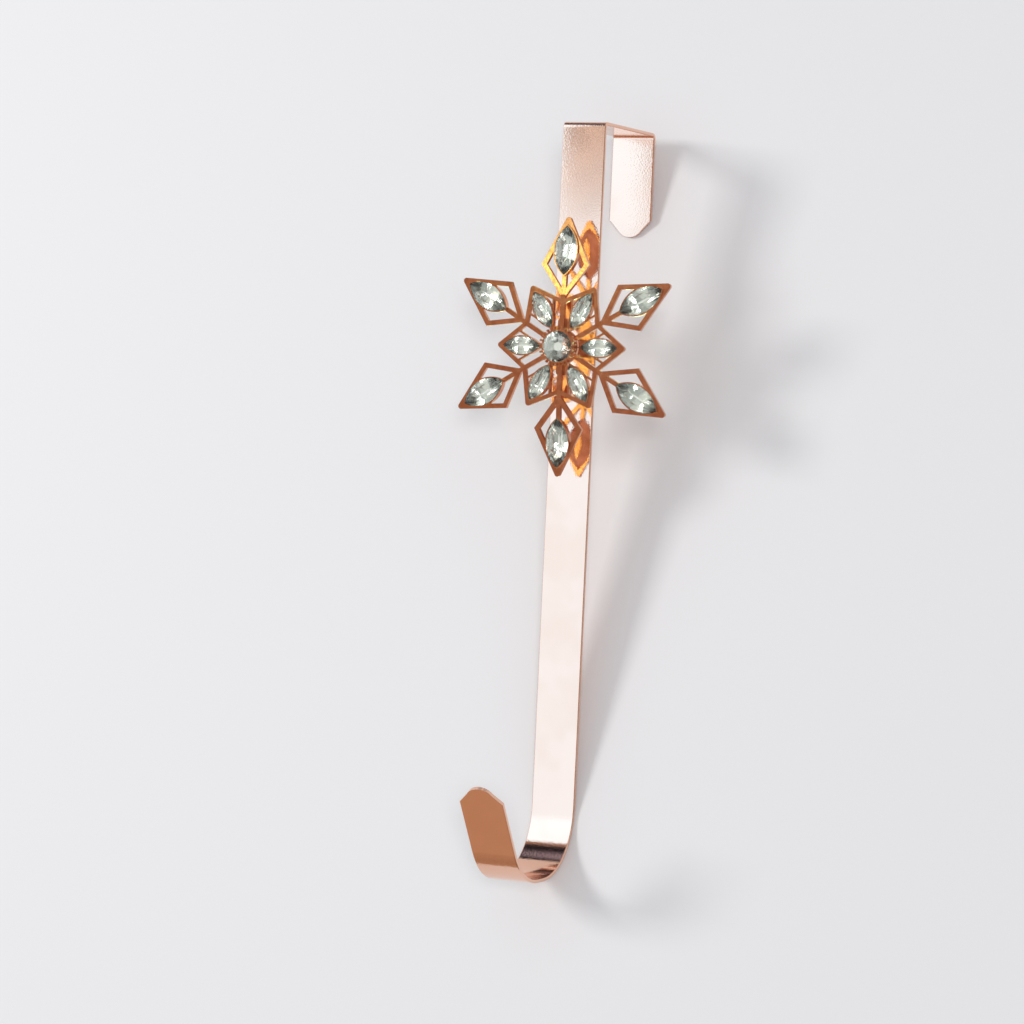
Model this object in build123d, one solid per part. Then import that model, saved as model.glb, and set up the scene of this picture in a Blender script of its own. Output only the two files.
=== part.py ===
from build123d import *
import os
from math import asin, cos, pi, radians, sin

# Over-the-door wreath hanger: a bent flat strap with a crystal snowflake standing off its shank.
# Millimetres. The origin is the middle of the bridge's underside, which rests on the door's top edge.
# +X is the viewer's right, +Y points through the door to its back, +Z is up.

# Strap
strap_width = 19.0
strap_thickness = 1.5
strap_edge_radius = 0.4
door_gap = 51.0
bend_radius = 1.0
clip_length = 35.2
shank_length = 279.0
hook_reach = 74.4
hook_radius = 27.0
hook_lean = 33.0
upright_length = 25.3

# Rounded nose at both ends of the strap, beyond its square corners
nose_length = 7.3
nose_shoulder_height = 4.3
nose_shoulder_half_width = 5.4

# Snowflake casting, as radii from its centre
snowflake_drop = 91.3
plate_thickness = 1.6
strip_width = 2.0
spoke_width = 1.9
hub_radius = 7.4
arm_tip_radius = 54.4
arm_waist_radius = 33.4
arm_root_radius = 19.2
arm_half_width = 10.6
arm_sweep = 4.0
petal_tip_radius = 28.8
petal_notch_radius = 19.2
petal_apex_radius = 8.3
petal_strip_width = 1.7
petal_inner_strip = 0.8
tip_fillet = 1.2
arms = 6

# Stones: navettes in the arms and petals, one round stone in the middle
arm_stone_length = 20.0
arm_stone_width = 9.8
arm_stone_depth = 4.0
arm_stone_crown = 1.8
arm_stone_inset = 15.2
petal_stone_length = 16.4
petal_stone_width = 7.3
petal_stone_depth = 2.8
petal_stone_crown = 1.4
petal_stone_radius = 17.1
centre_stone_diameter = 12.6
centre_stone_depth = 2.2
centre_stone_crown = 1.9
girdle = 0.3
table_share = 0.56
crown_break_share = 0.80
crown_break_height_share = 0.62
keel_length_share = 0.50
keel_width_share = 0.08
culet_share = 0.30
facets = 8

# Cast cups of the navettes
cup_wall = 0.45
cup_rim = 0.8
stone_clearance = 0.05
seat_share = 0.95
seat_drop = 0.5
cavity_margin = 0.3
keel_margin_share = 0.14

# Centre setting
collar_width = 1.7
collar_height = 1.4
collar_rise = 0.2
collar_teeth = 30
tooth_gap = 0.8
tooth_root_wall = 0.5
setting_base_radius = 6.2
setting_floor = 1.0
floor_clearance = 0.1

# Fixing from behind: a short bar across the casting's back, then sleeve and screw
bar_length = 23.0
bar_width = 4.8
bar_thickness = 1.2
sleeve_length = 10.9
sleeve_diameter = 8.0
screw_diameter = 3.0
screw_clearance = 0.2
thread_clearance = 0.05
head_diameter = 5.6
head_sink = 0.1
drive_width = 0.8
drive_span = 3.2
drive_depth = 0.6
stem_diameter = 5.0
stem_clearance = 0.1

# How far a cutting shape passes beyond what it cuts
cut_margin = 1.0

# Derived places
half_strap = strap_thickness / 2
shank_back = -door_gap / 2
shank_front = shank_back - strap_thickness
snowflake_back = shank_front - sleeve_length - bar_thickness
hook_middle_radius = hook_radius + half_strap
hook_front_reach = (hook_middle_radius + half_strap) * cos(radians(hook_lean))
nose_reach = (upright_length + nose_length) * sin(radians(hook_lean))
hook_flat = hook_reach - hook_radius - hook_front_reach - nose_reach
arm_stone_radius = arm_tip_radius - arm_stone_inset
cup_growth = 2 * (cup_wall + stone_clearance)
girdle_height = plate_thickness + cup_rim - girdle - stone_clearance
floor_height = plate_thickness + setting_floor
centre_girdle_height = floor_height + floor_clearance + centre_stone_depth
collar_top = centre_girdle_height + girdle + collar_rise
pocket_radius = centre_stone_diameter / 2 + stone_clearance
collar_radius = pocket_radius + collar_width
turn = 360 / arms

snowflake_plane = Plane(origin=(0, snowflake_back, -snowflake_drop), x_dir=(1, 0, 0), z_dir=(0, -1, 0))


# Strap

def strap_path():
    """Middle line of the strap in the YZ plane, from the clip's nose to the hook's nose."""
    bend = bend_radius + half_strap
    clip_y = door_gap / 2 + half_strap
    clip = Line((clip_y, -clip_length - nose_length), (clip_y, -bend_radius))
    back_bend = JernArc(clip @ 1, clip % 1, bend, 90)
    bridge = PolarLine(back_bend @ 1, door_gap - 2 * bend_radius, direction=back_bend % 1)
    front_bend = JernArc(bridge @ 1, bridge % 1, bend, 90)
    shank = PolarLine(front_bend @ 1, shank_length - bend_radius, direction=front_bend % 1)
    hook_back = JernArc(shank @ 1, shank % 1, hook_middle_radius, -90)
    seat = PolarLine(hook_back @ 1, hook_flat, direction=hook_back % 1)
    hook_front = JernArc(seat @ 1, seat % 1, hook_middle_radius, hook_lean - 90)
    upright = PolarLine(hook_front @ 1, upright_length + nose_length, direction=hook_front % 1)
    return Plane.YZ * Wire([clip, back_bend, bridge, front_bend, shank, hook_back, seat, hook_front, upright])


def nose_waste(end, outward):
    """What is trimmed from a square strap end to leave the chamfered, rounded nose."""
    side = strap_width / 2
    shoulder = (nose_shoulder_half_width, nose_shoulder_height)
    nose = make_face([
        Line((-side, 0), (side, 0)),
        Line((side, 0), shoulder),
        ThreePointArc(shoulder, (0, nose_length), (-shoulder[0], shoulder[1])),
        Line((-shoulder[0], shoulder[1]), (-side, 0)),
    ])
    blank = Pos(0, nose_length) * Rectangle(2 * strap_width, 2 * nose_length)
    across = Vector(1, 0, 0)
    corners = Plane(origin=end - outward * nose_length, x_dir=across, z_dir=across.cross(outward))
    return extrude(corners * (blank - nose), strap_thickness, both=True)


def make_strap():
    path = strap_path()
    start = Plane(origin=path @ 0, x_dir=(1, 0, 0), z_dir=path % 0)
    section = start * RectangleRounded(strap_width, strap_thickness, strap_edge_radius)
    strap = sweep(section, path=path)
    strap -= nose_waste(path @ 0, -(path % 0))
    strap -= nose_waste(path @ 1, path % 1)
    hole = screw_diameter / 2 + screw_clearance
    sink = head_diameter / 2 + screw_clearance
    hole_plane = Plane(origin=(0, shank_back, -snowflake_drop), x_dir=(1, 0, 0), z_dir=(0, -1, 0))
    strap -= hole_plane * extrude(Circle(hole), strap_thickness + cut_margin)
    strap -= hole_plane * countersink(hole, sink)
    return strap


def countersink(small_radius, large_radius):
    """Cone at 90 degrees, mouth at the origin, narrowing along +Z."""
    depth = large_radius - small_radius
    return Pos(0, 0, depth / 2) * Cone(large_radius, small_radius, depth)


# Outlines of stones and cups

def navette(length, width):
    """Pointed oval of two arcs, tips on the Y axis."""
    right = ThreePointArc((0, -length / 2), (width / 2, 0), (0, length / 2))
    left = ThreePointArc((0, length / 2), (-width / 2, 0), (0, -length / 2))
    return make_face([right, left])


def navette_ring(length, width, height):
    """Evenly spaced points round a navette, beginning at its upper tip."""
    a, b = length / 2, width / 2
    radius = (a * a + b * b) / (2 * b)
    reach = asin(a / radius)
    points = []
    for side in (1, -1):
        for step in range(facets):
            angle = reach * (1 - 2 * step / facets)
            across = radius * cos(angle) - radius + b
            points.append(Vector(side * across, side * radius * sin(angle), height))
    return points


def round_ring(diameter, height):
    """Evenly spaced points round a circle."""
    angles = [pi * step / facets for step in range(2 * facets)]
    return [Vector(diameter / 2 * sin(t), diameter / 2 * cos(t), height) for t in angles]


# Stones

def cut_stone(ring, depth, crown, culet):
    """Faceted stone: ring(share, height) gives its outline points, culet(height) those of its blunt keel.

    The girdle's lower edge is at height 0. The crown has a table, star facets, kites and girdle facets.
    """
    top = girdle + crown
    low_girdle = ring(1, 0)
    high_girdle = ring(1, girdle)
    table = ring(table_share, top)[0::2]
    crown_break = ring(crown_break_share, girdle + crown * crown_break_height_share)[1::2]
    keel = culet(-depth)[0::2]
    faces = [polygon(table), polygon(keel)]
    for k in range(facets):
        following = (k + 1) % facets
        edge, middle, corner = 2 * k, 2 * k + 1, (2 * k + 2) % (2 * facets)
        faces.append(polygon([table[k], crown_break[k], table[following]]))
        faces.append(polygon([table[k], crown_break[k - 1], high_girdle[edge]]))
        faces.append(polygon([table[k], high_girdle[edge], crown_break[k]]))
        for a, b in ((edge, middle), (middle, corner)):
            faces.append(polygon([crown_break[k], high_girdle[a], high_girdle[b]]))
            faces.append(polygon([high_girdle[a], low_girdle[a], low_girdle[b], high_girdle[b]]))
        faces.append(polygon([low_girdle[edge], low_girdle[middle], keel[k]]))
        faces.append(polygon([low_girdle[middle], low_girdle[corner], keel[following]]))
        faces.append(polygon([keel[k], low_girdle[middle], keel[following]]))
    return Solid(Shell(faces))


def polygon(points):
    return Face(Wire.make_polygon(points, close=True))


def make_navette(length, width, depth, crown):
    def ring(share, height):
        return navette_ring(share * length, share * width, height)

    def culet(height):
        return navette_ring(keel_length_share * length, keel_width_share * width, height)

    return cut_stone(ring, depth, crown, culet)


def make_round_stone():
    def ring(share, height):
        return round_ring(share * centre_stone_diameter, height)

    def culet(height):
        return round_ring(culet_share * centre_stone_diameter, height)

    return cut_stone(ring, centre_stone_depth, centre_stone_crown, culet)


# Snowflake casting

def cup_body(length, width, depth):
    """Boat-shaped cup of a navette, solid, from its keel to the top of its rim."""
    grow = cup_growth
    keel_z = girdle_height - depth - cavity_margin - cup_wall
    keel_length = (keel_length_share + keel_margin_share) * length + grow
    keel_width = (keel_width_share + keel_margin_share) * width + grow
    rim = extrude(navette(length + grow, width + grow), plate_thickness + cup_rim)
    keel = Pos(0, 0, keel_z) * navette(keel_length, keel_width)
    return rim + loft([keel, navette(length + grow, width + grow)], ruled=True)


def cup_cavity(length, width, depth):
    """Space for a navette: straight walls round its girdle, then a taper down to the keel."""
    seat_z = girdle_height - seat_drop
    keel_length = (keel_length_share + keel_margin_share) * length
    keel_width = (keel_width_share + keel_margin_share) * width
    mouth = navette(length + 2 * stone_clearance, width + 2 * stone_clearance)
    pocket = extrude(Pos(0, 0, seat_z) * mouth, plate_thickness + 2 * cup_rim)
    seat = Pos(0, 0, seat_z) * navette(seat_share * length, seat_share * width)
    keel = Pos(0, 0, girdle_height - depth - cavity_margin) * navette(keel_length, keel_width)
    return pocket + loft([keel, seat], ruled=True)


def arm_tilt():
    """Bends an arm back towards the strap about its root."""
    root = Pos(0, arm_root_radius, plate_thickness / 2)
    return root * Rot(-arm_sweep, 0, 0) * root.inverse()


def arm_outline():
    """Open kite of an arm with the spoke that carries its cup, pointing along +Y."""
    corners = [(0, arm_root_radius), (arm_half_width, arm_waist_radius),
               (0, arm_tip_radius), (-arm_half_width, arm_waist_radius)]
    kite = make_face(Polyline(*corners, close=True))
    window = offset(kite, amount=-strip_width, kind=Kind.INTERSECTION)
    tip = kite.vertices().sort_by(Axis.Y)[-1]
    inner_end = arm_stone_radius - arm_stone_length / 2
    spoke_start = arm_root_radius + strip_width
    spoke = Pos(0, (spoke_start + inner_end) / 2) * Rectangle(spoke_width, inner_end - spoke_start)
    return fillet(tip, tip_fillet) - window + spoke


def petal_sector(distance):
    """Wide sector of one petal whose sides keep this distance from the two spokes beside it."""
    half_turn = radians(turn / 2)
    reach = 2 * petal_tip_radius
    side = (reach * sin(half_turn), reach * cos(half_turn))
    sector = make_face(Polyline((0, 0), side, (-side[0], side[1]), close=True))
    return Pos(0, distance / sin(half_turn)) * sector


def petal_outline():
    """Outer strips of one petal and the inner strips that run beside its cup, pointing along +Y."""
    half_turn = radians(turn / 2)
    tip = Vector(0, petal_tip_radius)
    notch = Vector(petal_notch_radius * sin(half_turn), petal_notch_radius * cos(half_turn))
    wedge = make_face(Polyline((0, 0), notch, tip, (-notch.X, notch.Y), close=True))
    wedge = fillet(wedge.vertices().sort_by(Axis.Y)[-1], tip_fillet)
    eave = notch + (notch - tip)
    roof = make_face(Polyline(tip, eave, (-eave.X, eave.Y), close=True))
    below_strips = offset(roof, amount=-petal_strip_width, kind=Kind.INTERSECTION)
    window = below_strips & petal_sector(spoke_width / 2)
    middle = petal_apex_radius * sin(half_turn)
    half_strip = petal_inner_strip / 2
    inner_strips = petal_sector(middle - half_strip) - petal_sector(middle + half_strip)
    return wedge - window + (inner_strips & wedge)


def make_snowflake():
    hub = extrude(Circle(hub_radius), plate_thickness)
    spoke_length = arm_root_radius + strip_width
    spoke = extrude(Pos(0, spoke_length / 2) * Rectangle(spoke_width, spoke_length), plate_thickness)
    bar = extrude(RectangleRounded(bar_width, bar_length, tip_fillet), -bar_thickness)
    petal = extrude(petal_outline(), plate_thickness)
    petal_stone = (petal_stone_length, petal_stone_width, petal_stone_depth)
    petal += Pos(0, petal_stone_radius) * cup_body(*petal_stone)
    petal -= Pos(0, petal_stone_radius) * cup_cavity(*petal_stone)
    arm = extrude(arm_outline(), plate_thickness)
    arm_stone = (arm_stone_length, arm_stone_width, arm_stone_depth)
    arm += Pos(0, arm_stone_radius) * cup_body(*arm_stone)
    arm -= Pos(0, arm_stone_radius) * cup_cavity(*arm_stone)
    pieces = [bar]
    for k in range(arms):
        pieces.append(Rot(0, 0, turn * k) * spoke)
        pieces.append(Rot(0, 0, turn * (k + 0.5)) * petal)
        pieces.append(Rot(0, 0, turn * k) * arm_tilt() * arm)
    casting = hub + pieces
    casting -= extrude(Circle(stem_diameter / 2 + stem_clearance), plate_thickness + cut_margin, both=True)
    return snowflake_plane * casting


# Centre setting and what holds it

def make_centre_cup():
    """Turned setting with a milled collar round the stone and a tapped stem through the hub."""
    collar_foot = collar_top - collar_height
    root_radius = pocket_radius + tooth_root_wall
    stem_end = stem_clearance - bar_thickness
    profile = make_face(Polyline(
        (0, stem_end),
        (stem_diameter / 2, stem_end),
        (stem_diameter / 2, plate_thickness),
        (setting_base_radius, plate_thickness),
        (root_radius, collar_foot),
        (collar_radius, collar_foot),
        (collar_radius, collar_top),
        (pocket_radius, collar_top),
        (pocket_radius, floor_height),
        (0, floor_height),
        close=True,
    ))
    cup = revolve(Plane.XZ * profile, Axis.Z)
    gap_length = collar_radius + cut_margin - root_radius
    gap = Box(gap_length, tooth_gap, collar_height + 2 * cut_margin)
    gap = Pos(root_radius + gap_length / 2, 0, collar_top - collar_height / 2) * gap
    cup -= [Rot(0, 0, 360 / collar_teeth * k) * gap for k in range(collar_teeth)]
    cup -= extrude(Circle(screw_diameter / 2 + thread_clearance), floor_height + cut_margin, both=True)
    return snowflake_plane * cup


def make_sleeve():
    ring = Circle(sleeve_diameter / 2) - Circle(screw_diameter / 2 + screw_clearance)
    return snowflake_plane * Pos(0, 0, -bar_thickness) * extrude(ring, -sleeve_length)


def make_screw():
    """Countersunk screw from the strap's back, its head just below the surface."""
    head_plane = Plane(origin=(0, shank_back - head_sink, -snowflake_drop), x_dir=(1, 0, 0), z_dir=(0, -1, 0))
    length = strap_thickness + sleeve_length + bar_thickness + floor_height - head_sink
    body = extrude(Circle(screw_diameter / 2), length - floor_clearance)
    body += countersink(screw_diameter / 2, head_diameter / 2)
    for angle in (0, 90):
        body -= Rot(0, 0, angle) * Box(drive_span, drive_width, 2 * drive_depth)
    return head_plane * body


# Stones in their places

def arm_stone_place(k):
    arm = snowflake_plane.location * Rot(0, 0, turn * k) * arm_tilt()
    return arm * Pos(0, arm_stone_radius, girdle_height)


def petal_stone_place(k):
    petal = snowflake_plane.location * Rot(0, 0, turn * (k + 0.5))
    return petal * Pos(0, petal_stone_radius, girdle_height)


def make_nodes():
    nodes = {
        "hanger_strap": make_strap(),
        "snowflake_frame": make_snowflake(),
        "centre_cup": make_centre_cup(),
        "standoff_sleeve": make_sleeve(),
        "mounting_screw": make_screw(),
        "centre_crystal": snowflake_plane * Pos(0, 0, centre_girdle_height) * make_round_stone(),
    }
    arm_stone = make_navette(arm_stone_length, arm_stone_width, arm_stone_depth, arm_stone_crown)
    petal_stone = make_navette(petal_stone_length, petal_stone_width, petal_stone_depth, petal_stone_crown)
    for k in range(arms):
        nodes[f"arm_crystal_{k + 1}"] = arm_stone_place(k) * arm_stone
        nodes[f"petal_crystal_{k + 1}"] = petal_stone_place(k) * petal_stone
    return nodes


os.makedirs("parts", exist_ok=True)
for name, shape in make_nodes().items():
    export_step(shape, f"parts/{name}.step")
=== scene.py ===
import math

import bpy
from mathutils import Matrix, Vector


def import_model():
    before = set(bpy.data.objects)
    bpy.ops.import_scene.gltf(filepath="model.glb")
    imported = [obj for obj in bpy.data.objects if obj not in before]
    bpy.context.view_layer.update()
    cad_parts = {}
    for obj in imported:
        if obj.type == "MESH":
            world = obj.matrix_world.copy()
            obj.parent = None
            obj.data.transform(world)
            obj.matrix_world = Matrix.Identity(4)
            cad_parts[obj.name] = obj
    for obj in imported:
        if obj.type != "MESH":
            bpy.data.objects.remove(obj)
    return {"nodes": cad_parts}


# Looks of the wreath hanger. Metres and degrees, in the CAD frame: +X is the viewer's right and +Y goes
# through the door. Azimuth 0 is the viewer's side, at -Y, and azimuths grow towards the viewer's right.

# Camera, as a pose round one point of the shank
CAMERA_TARGET = Vector((0, -0.0270, -0.1635))
CAMERA_AZIMUTH = 24.54
CAMERA_ELEVATION = 1.54
CAMERA_ROLL = 2.62
CAMERA_DISTANCE = 1.4547
FOCAL_PIXELS = 3541.7
PICTURE_PIXELS = 1024
TARGET_PIXEL = (565.98, 523.73)
SENSOR_WIDTH = 36.0

# The white table that the hanger lies on, touching the clip's nose and the back of the hook; its near edge
# is TABLE_FRONT below the hook, above a floor
TABLE_AT_CLIP = Vector((0, 0.0270, -0.0425))
TABLE_AT_HOOK = Vector((0, -0.0261, -0.2850))
TABLE_GAP = 0.0004
TABLE_REACH = 2.0
TABLE_FRONT = 0.15
FLOOR_HEIGHT = -1.2
FLOOR_SIZE = 12

# Two flags stand square to the direction in which the camera sees the strap's mirror image
MIRROR_ORIGIN = Vector((0, -0.0270, 0))
FLAG_DISTANCE = 0.16

# White screen at the viewer's left that the strap mirrors, a little brighter in its upper part
SCREEN_AZIMUTH = -35
SCREEN_DISTANCE = 1.2
SCREEN_SIDES = (-0.61, 0.61)
SCREEN_HEIGHTS = (-1.05, 1.38)
SCREEN_RISE = (-0.26, 0.09)
SCREEN_GAIN = 1.2

# What the lights aim at, close to the snowflake
LIGHT_TARGET = Vector((0, -0.03, -0.10))

# Colours, linear
ROSE_GOLD = (0.88, 0.54, 0.40, 1)
ROSE_GOLD_DEEP = (0.85, 0.51, 0.37, 1)
COPPER_LIGHT = (0.82, 0.43, 0.27, 1)
COPPER_DARK = (0.68, 0.32, 0.19, 1)
GLASS = (0.93, 0.945, 0.93, 1)
FOIL = (0.86, 0.87, 0.84, 1)
STEEL = (0.70, 0.70, 0.72, 1)
TABLE = (0.84, 0.84, 0.85, 1)
PALE_FLAG = (0.73, 0.75, 0.74, 1)
DARK_FLAG = (0.03, 0.02, 0.02, 1)
SCREEN_GLOW = (0.70, 1.37, 1.92, 1)
BACKDROP = (0.82, 0.82, 0.83, 1)
SOFT_LIGHT = (0.494, 0.498, 0.513, 1)
WALL_LIGHT = (0.95, 0.95, 0.96, 1)
WALL_SHADE = (0.55, 0.55, 0.56, 1)
FLOOR_BROWN = (0.55, 0.37, 0.25, 1)
STONE_WALL = (0.48, 0.51, 0.49, 1)

# Areas painted over the walls, each with its colour, azimuths, elevations and soft edge. Limits beyond 180
# and -90 degrees leave no soft edge behind the hanger or straight down.
ALL_ROUND = (-200, 200)
BOTTOM = -110
RIGHT_WALL = ((0.30, 0.24, 0.20, 1), (10, 110), (-25, 30), 8)
NEAR_FLOOR = (FLOOR_BROWN, (-76, 10), (-78, -34), 3)
WHOLE_FLOOR = (FLOOR_BROWN, ALL_ROUND, (BOTTOM, -58), 2)
DARK_FLOOR = ((0.22, 0.13, 0.09, 1), ALL_ROUND, (BOTTOM, -67), 7)
LEFT_WALL = ((0.40, 0.25, 0.18, 1), (-62, -8), (-34, 58), 3)
BLACK_CEILING = ((0.02, 0.02, 0.03, 1), (-128, -12), (58, 87), 2)
CEILING_LAMP = ((0.62, 0.66, 0.92, 1), (-110, -30), (67, 76), 3)
METAL_AREAS = (RIGHT_WALL, NEAR_FLOOR, WHOLE_FLOOR, DARK_FLOOR, LEFT_WALL, BLACK_CEILING, CEILING_LAMP)

# Areas that show in the stones instead
STONE_SCREEN = ((0.90, 0.92, 0.88, 1), (-62, -8), (-34, 49), 5)
CREAM_WINDOW = ((2.6, 2.5, 2.0, 1), (-52, -30), (14, 40), 2)
WHITE_WINDOW = ((2.2, 2.3, 2.3, 1), (15, 55), (5, 35), 2)
STONE_AREAS = (STONE_SCREEN, CREAM_WINDOW, WHITE_WINDOW)


# Node helpers

class Tree:
    """Adds nodes to the node tree of a material or world; i0, i1 ... name inputs by number."""

    def __init__(self, owner):
        owner.use_nodes = True
        self.tree = owner.node_tree
        self.tree.nodes.clear()

    def add(self, kind, settings=None, **inputs):
        node = self.tree.nodes.new(kind)
        for name, value in (settings or {}).items():
            setattr(node, name, value)
        for name, value in inputs.items():
            key = int(name[1:]) if name[1:].isdigit() else name.replace("_", " ")
            socket = node.inputs[key]
            if isinstance(value, bpy.types.NodeSocket):
                self.tree.links.new(value, socket)
            else:
                socket.default_value = value
        return node

    def math(self, operation, a, b=0.0):
        return self.add("ShaderNodeMath", {"operation": operation}, i0=a, i1=b).outputs[0]

    def mix(self, factor, a, b):
        return self.add("ShaderNodeMix", {"data_type": "RGBA"}, i0=factor, i6=a, i7=b).outputs[2]

    def noise(self, place, size, detail=2.0):
        """Noise with features of about this size in metres."""
        return self.add("ShaderNodeTexNoise", Vector=place, Scale=1 / size, Detail=detail).outputs[0]

    def ramp(self, value, low, high, start=0.0, end=1.0):
        """Smooth step from start at low to end at high."""
        settings = {"interpolation_type": "SMOOTHSTEP"}
        node = self.add("ShaderNodeMapRange", settings, Value=value, i1=low, i2=high, i3=start, i4=end)
        return node.outputs[0]

    def band(self, value, low, high, soft):
        """1 between low and high and 0 outside, with soft edges."""
        rise = self.ramp(value, low - soft, low + soft)
        return self.math("MULTIPLY", rise, self.ramp(value, high - soft, high + soft, 1.0, 0.0))

    def plate(self, tone, rough, height, depth, edge_radius):
        """Plated metal with a fine relief and softly rounded edges."""
        rounded = self.add("ShaderNodeBevel", {"samples": 4}, Radius=edge_radius)
        relief = self.add("ShaderNodeBump", Strength=1.0, Distance=depth, Height=height,
                          Normal=rounded.outputs[0])
        return self.add("ShaderNodeBsdfPrincipled", Base_Color=tone, Metallic=1.0, Roughness=rough,
                        Normal=relief.outputs[0])

    def finish(self, shader, kind="ShaderNodeOutputMaterial"):
        self.add(kind, Surface=shader.outputs[0])


# Camera

def make_camera():
    """A pinhole camera that sees CAMERA_TARGET at TARGET_PIXEL."""
    azimuth = math.radians(CAMERA_AZIMUTH)
    elevation = math.radians(CAMERA_ELEVATION)
    roll = math.radians(CAMERA_ROLL)
    level = Vector((math.sin(azimuth), -math.cos(azimuth), 0))
    back = level * math.cos(elevation) + Vector((0, 0, math.sin(elevation)))
    level_right = Vector((0, 0, 1)).cross(back).normalized()
    level_up = back.cross(level_right)
    right = level_right * math.cos(roll) + level_up * math.sin(roll)
    up = level_up * math.cos(roll) - level_right * math.sin(roll)
    middle = PICTURE_PIXELS / 2
    aside = (TARGET_PIXEL[0] - middle) / FOCAL_PIXELS * CAMERA_DISTANCE
    above = (middle - TARGET_PIXEL[1]) / FOCAL_PIXELS * CAMERA_DISTANCE
    place = CAMERA_TARGET - right * aside - up * above + back * CAMERA_DISTANCE
    data = bpy.data.cameras.new("camera")
    data.sensor_width = SENSOR_WIDTH
    data.lens = SENSOR_WIDTH * FOCAL_PIXELS / PICTURE_PIXELS
    data.clip_start = 0.05
    data.clip_end = 20
    camera = bpy.data.objects.new("camera", data)
    bpy.context.collection.objects.link(camera)
    camera.matrix_world = Matrix.Translation(place) @ Matrix((right, up, back)).transposed().to_4x4()
    bpy.context.scene.camera = camera


# Materials of the hanger

def strap_material():
    """Polished rose-gold plate with a faint orange peel."""
    material = bpy.data.materials.new("plated_strap")
    t = Tree(material)
    place = t.add("ShaderNodeTexCoord").outputs["Object"]
    peel = t.noise(place, 0.0008)
    waves = t.noise(place, 0.02)
    rough = t.ramp(waves, 0.3, 0.7, 0.06, 0.10)
    tone = t.mix(t.ramp(waves, 0.35, 0.65), ROSE_GOLD, ROSE_GOLD_DEEP)
    t.finish(t.plate(tone, rough, height=peel, depth=0.000026, edge_radius=0.0003))
    return material


def casting_material():
    """Copper plate over the gritty skin of a small casting."""
    material = bpy.data.materials.new("plated_casting")
    t = Tree(material)
    place = t.add("ShaderNodeTexCoord").outputs["Object"]
    grit = t.noise(place, 0.0009, 3.0)
    blotches = t.noise(place, 0.004, 3.0)
    tone = t.mix(t.ramp(blotches, 0.35, 0.65), COPPER_DARK, COPPER_LIGHT)
    rough = t.ramp(grit, 0.3, 0.7, 0.15, 0.23)
    t.finish(t.plate(tone, rough, height=grit, depth=0.000010, edge_radius=0.0002))
    return material


def steel_material():
    """Bright steel with a fine uneven sheen."""
    material = bpy.data.materials.new("screw_steel")
    t = Tree(material)
    place = t.add("ShaderNodeTexCoord").outputs["Object"]
    rough = t.ramp(t.noise(place, 0.0004, 3.0), 0.3, 0.7, 0.22, 0.42)
    metal = t.add("ShaderNodeBsdfPrincipled", Base_Color=STEEL, Metallic=1.0, Roughness=rough)
    t.finish(metal)
    return material


def crystal_material():
    """Clear glass whose faces that look back into the cup are a foil mirror."""
    material = bpy.data.materials.new("crystal")
    t = Tree(material)
    geometry = t.add("ShaderNodeNewGeometry")
    facing = t.add("ShaderNodeSeparateXYZ", Vector=geometry.outputs["True Normal"])
    side = t.math("SUBTRACT", 1.0, t.math("MULTIPLY", geometry.outputs["Backfacing"], 2.0))
    outward_y = t.math("MULTIPLY", facing.outputs["Y"], side)
    # A little above 0, so that the girdle stays clear
    is_back = t.math("GREATER_THAN", outward_y, 0.05)
    glass = t.add("ShaderNodeBsdfPrincipled", Base_Color=GLASS, Roughness=0.0, IOR=1.52,
                  Transmission_Weight=1.0)
    foil = t.add("ShaderNodeBsdfPrincipled", Base_Color=FOIL, Metallic=1.0, Roughness=0.14)
    both = t.add("ShaderNodeMixShader", Fac=is_back, i1=glass.outputs[0], i2=foil.outputs[0])
    t.finish(both)
    return material


def dress_nodes(frame):
    """Gives every CAD node its material."""
    strap = strap_material()
    casting = casting_material()
    steel = steel_material()
    crystal = crystal_material()
    for name, node in frame["nodes"].items():
        material = casting
        if name == "hanger_strap":
            material = strap
        elif name == "mounting_screw":
            material = steel
        elif "crystal" in name:
            material = crystal
        node.data.materials.clear()
        node.data.materials.append(material)


# Studio

def make_plane(name, centre, right, up, width, height):
    """Rectangle whose own X and Y axes are right and up; it faces along their cross product."""
    mesh = bpy.data.meshes.new(name)
    x, y = width / 2, height / 2
    mesh.from_pydata([(-x, -y, 0), (x, -y, 0), (x, y, 0), (-x, y, 0)], [], [(0, 1, 2, 3)])
    plane = bpy.data.objects.new(name, mesh)
    bpy.context.collection.objects.link(plane)
    turn = Matrix((right, up, right.cross(up))).transposed().to_4x4()
    plane.matrix_world = Matrix.Translation(centre) @ turn
    return plane


def hide_from(piece, *rays):
    """Hides a piece from rays of these kinds."""
    for ray in rays:
        setattr(piece, "visible_" + ray, False)


def make_table():
    """White table, seen from the front only, so that views from behind stay open."""
    down = (TABLE_AT_HOOK - TABLE_AT_CLIP).normalized()
    right = Vector((1, 0, 0))
    facing = right.cross(-down)
    centre = TABLE_AT_HOOK + down * (TABLE_FRONT - TABLE_REACH) - facing * TABLE_GAP
    table = make_plane("table", centre, right, -down, 2 * TABLE_REACH, 2 * TABLE_REACH)
    material = bpy.data.materials.new("table")
    t = Tree(material)
    behind = t.add("ShaderNodeNewGeometry").outputs["Backfacing"]
    paint = t.add("ShaderNodeBsdfPrincipled", Base_Color=TABLE, Roughness=0.6)
    clear = t.add("ShaderNodeBsdfTransparent")
    t.finish(t.add("ShaderNodeMixShader", Fac=behind, i1=paint.outputs[0], i2=clear.outputs[0]))
    table.data.materials.append(material)


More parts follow.
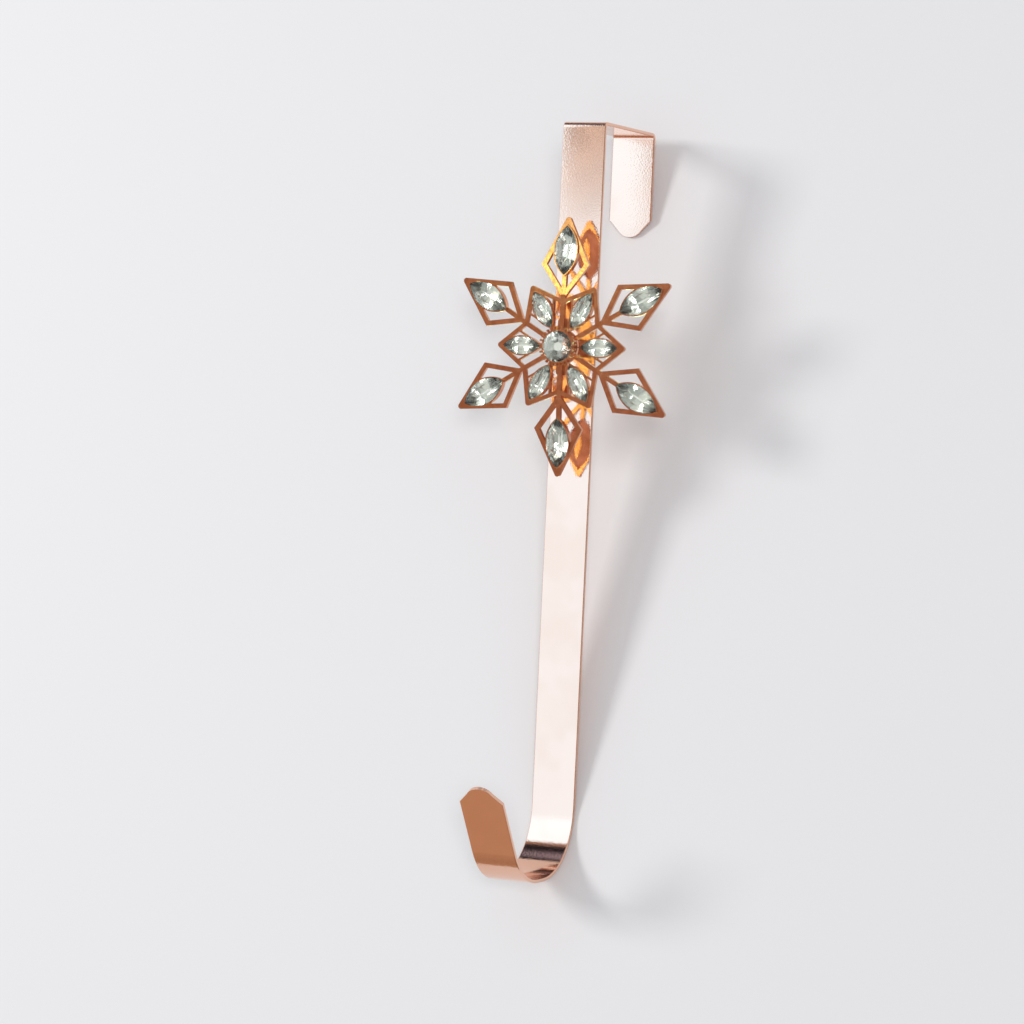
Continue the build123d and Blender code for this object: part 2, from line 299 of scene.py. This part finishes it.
def make_floor():
    """Plain pale floor under the table, seen by the camera alone."""
    centre = Vector((0, 0, FLOOR_HEIGHT))
    floor = make_plane("floor", centre, Vector((1, 0, 0)), Vector((0, 1, 0)), FLOOR_SIZE, FLOOR_SIZE)
    material = bpy.data.materials.new("floor")
    t = Tree(material)
    t.finish(t.add("ShaderNodeBsdfPrincipled", Base_Color=TABLE, Roughness=0.8, Emission_Color=TABLE,
                   Emission_Strength=0.35))
    material.cycles.emission_sampling = "NONE"
    floor.data.materials.append(material)
    hide_from(floor, "glossy", "diffuse", "transmission", "shadow")


def mirror_only(card, material):
    """Gives a card its material and lets only mirrors see it."""
    card.data.materials.append(material)
    hide_from(card, "camera", "diffuse", "transmission", "shadow")
    material.cycles.emission_sampling = "NONE"


def light_only(light, pieces):
    """Limits a light or glowing card to these pieces."""
    receivers = bpy.data.collections.new(light.name + "_receivers")
    for piece in pieces:
        receivers.objects.link(piece)
    light.light_linking.receiver_collection = receivers


def level_axes(azimuth):
    """Directions away from the object towards an azimuth and, as seen from there, to the right."""
    a = math.radians(azimuth)
    return Vector((math.sin(a), -math.cos(a), 0)), Vector((math.cos(a), math.sin(a), 0))


def make_card(name, azimuth, distance, sides, heights):
    """Upright card square to an azimuth; sides is its reach across and heights its reach along Z."""
    away, across = level_axes(azimuth)
    aside = across * (sum(sides) / 2)
    above = Vector((0, 0, sum(heights) / 2))
    centre = MIRROR_ORIGIN + away * distance + aside + above
    width = sides[1] - sides[0]
    height = heights[1] - heights[0]
    return make_plane(name, centre, across, Vector((0, 0, 1)), width, height)


def make_flag(name, color, sides, heights, soft_sides, soft_heights):
    """Mottled flag that greys the strap's mirror image and fades towards its edges over the soft widths."""
    flag = make_card(name, -CAMERA_AZIMUTH, FLAG_DISTANCE, sides, heights)
    width = sides[1] - sides[0]
    height = heights[1] - heights[0]
    material = bpy.data.materials.new(name)
    t = Tree(material)
    place = t.add("ShaderNodeTexCoord").outputs["Object"]
    x, y = t.add("ShaderNodeSeparateXYZ", Vector=place).outputs[:2]
    left = t.ramp(x, -width / 2, -width / 2 + soft_sides[0])
    right = t.ramp(x, width / 2 - soft_sides[1], width / 2, 1.0, 0.0)
    low = t.ramp(y, -height / 2, -height / 2 + soft_heights[0])
    high = t.ramp(y, height / 2 - soft_heights[1], height / 2, 1.0, 0.0)
    mask = t.math("MULTIPLY", t.math("MULTIPLY", left, right), t.math("MULTIPLY", low, high))
    mottle = t.ramp(t.noise(place, 0.007), 0.35, 0.65, 0.60, 1.40)
    glow = t.add("ShaderNodeEmission", Color=color, Strength=mottle)
    clear = t.add("ShaderNodeBsdfTransparent")
    t.finish(t.add("ShaderNodeMixShader", Fac=mask, i1=clear.outputs[0], i2=glow.outputs[0]))
    mirror_only(flag, material)


def make_screen(strap):
    """White screen that adds its glow to what only the strap mirrors."""
    screen = make_card("screen", SCREEN_AZIMUTH, SCREEN_DISTANCE, SCREEN_SIDES, SCREEN_HEIGHTS)
    material = bpy.data.materials.new("screen")
    t = Tree(material)
    place = t.add("ShaderNodeTexCoord").outputs["Object"]
    height = t.add("ShaderNodeSeparateXYZ", Vector=place).outputs["Y"]
    strength = t.ramp(height, *SCREEN_RISE, 1.0, SCREEN_GAIN)
    glow = t.add("ShaderNodeEmission", Color=SCREEN_GLOW, Strength=strength)
    clear = t.add("ShaderNodeBsdfTransparent")
    t.finish(t.add("ShaderNodeAddShader", i0=clear.outputs[0], i1=glow.outputs[0]))
    mirror_only(screen, material)
    light_only(screen, [strap])


def make_room():
    """Room round the table. Metal and stones mirror walls of their own; paint gets an even soft light."""
    world = bpy.data.worlds.new("room")
    # What a ray meets depends on its kind, so the room isn't sampled as a light
    world.cycles.sampling_method = "NONE"
    bpy.context.scene.world = world
    t = Tree(world)
    direction = t.add("ShaderNodeTexCoord").outputs["Generated"]
    x, y, z = t.add("ShaderNodeSeparateXYZ", Vector=direction).outputs
    elevation = t.math("MULTIPLY", t.math("ARCSINE", z), 180 / math.pi)
    azimuth = t.math("MULTIPLY", t.math("ARCTAN2", x, t.math("MULTIPLY", y, -1.0)), 180 / math.pi)

    def paint(view, areas):
        for color, azimuths, elevations, soft in areas:
            across = t.band(azimuth, *azimuths, soft)
            mask = t.math("MULTIPLY", across, t.band(elevation, *elevations, soft))
            view = t.mix(mask, view, color)
        return view

    patches = t.add("ShaderNodeTexVoronoi", {"feature": "SMOOTH_F1"}, Vector=direction, Scale=4.5,
                    Smoothness=0.3)
    walls = t.mix(t.ramp(patches.outputs["Distance"], 0.2, 0.6), WALL_LIGHT, WALL_SHADE)
    rays = t.add("ShaderNodeLightPath").outputs
    view = t.mix(rays["Is Transmission Ray"], paint(walls, METAL_AREAS), paint(STONE_WALL, STONE_AREAS))
    view = t.mix(rays["Is Diffuse Ray"], view, SOFT_LIGHT)
    view = t.mix(rays["Is Camera Ray"], view, BACKDROP)
    background = t.add("ShaderNodeBackground", Color=view, Strength=1.0)
    t.finish(background, "ShaderNodeOutputWorld")


def area_light(name, azimuth, elevation, distance, size, power, color):
    """Square light aimed at LIGHT_TARGET; neither the camera nor a mirror sees it."""
    data = bpy.data.lights.new(name, "AREA")
    data.size = size
    data.energy = power
    data.color = color
    light = bpy.data.objects.new(name, data)
    bpy.context.collection.objects.link(light)
    away, _ = level_axes(azimuth)
    e = math.radians(elevation)
    towards = away * math.cos(e) + Vector((0, 0, math.sin(e)))
    light.location = LIGHT_TARGET + towards * distance
    light.rotation_mode = "QUATERNION"
    light.rotation_quaternion = towards.to_track_quat("Z", "Y")
    hide_from(light, "camera", "glossy")
    return light


def make_lights(frame):
    """Key and fill light the table. Two glows, in front and behind, give only the snowflake its gold."""
    area_light("key", azimuth=-43, elevation=14, distance=1.75, size=0.45, power=11.7,
               color=(1.0, 0.99, 0.98))
    area_light("fill", azimuth=CAMERA_AZIMUTH, elevation=5, distance=3.0, size=0.60, power=20.8,
               color=(1.0, 1.0, 1.0))
    gold = area_light("gold", azimuth=-24, elevation=16.4, distance=0.35, size=0.048, power=0.031,
                      color=(0.84, 1.0, 0.36))
    back_glow = area_light("back_glow", azimuth=-156, elevation=0, distance=0.9, size=0.60, power=2.2,
                           color=(0.60, 1.0, 0.40))
    # This light stands behind the table and shines through it
    back_glow.data.use_shadow = False
    back_glow.data.cycles.use_multiple_importance_sampling = False
    ornament = [frame["nodes"][name] for name in ("snowflake_frame", "centre_cup", "standoff_sleeve")]
    for light in (gold, back_glow):
        light.visible_glossy = True
        light_only(light, ornament)


def main():
    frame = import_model()
    make_camera()
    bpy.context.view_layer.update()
    dress_nodes(frame)
    make_table()
    make_floor()
    make_flag("flag", PALE_FLAG, sides=(-0.011, 0.060), heights=(-0.060, 0.130),
              soft_sides=(0.008, 0.010), soft_heights=(0.078, 0.004))
    make_flag("dark_flag", DARK_FLAG, sides=(-0.030, 0.060), heights=(0.120, 0.450),
              soft_sides=(0.008, 0.010), soft_heights=(0.012, 0.010))
    make_screen(frame["nodes"]["hanger_strap"])
    make_room()
    make_lights(frame)
    bpy.context.scene.view_settings.view_transform = "Standard"


main()
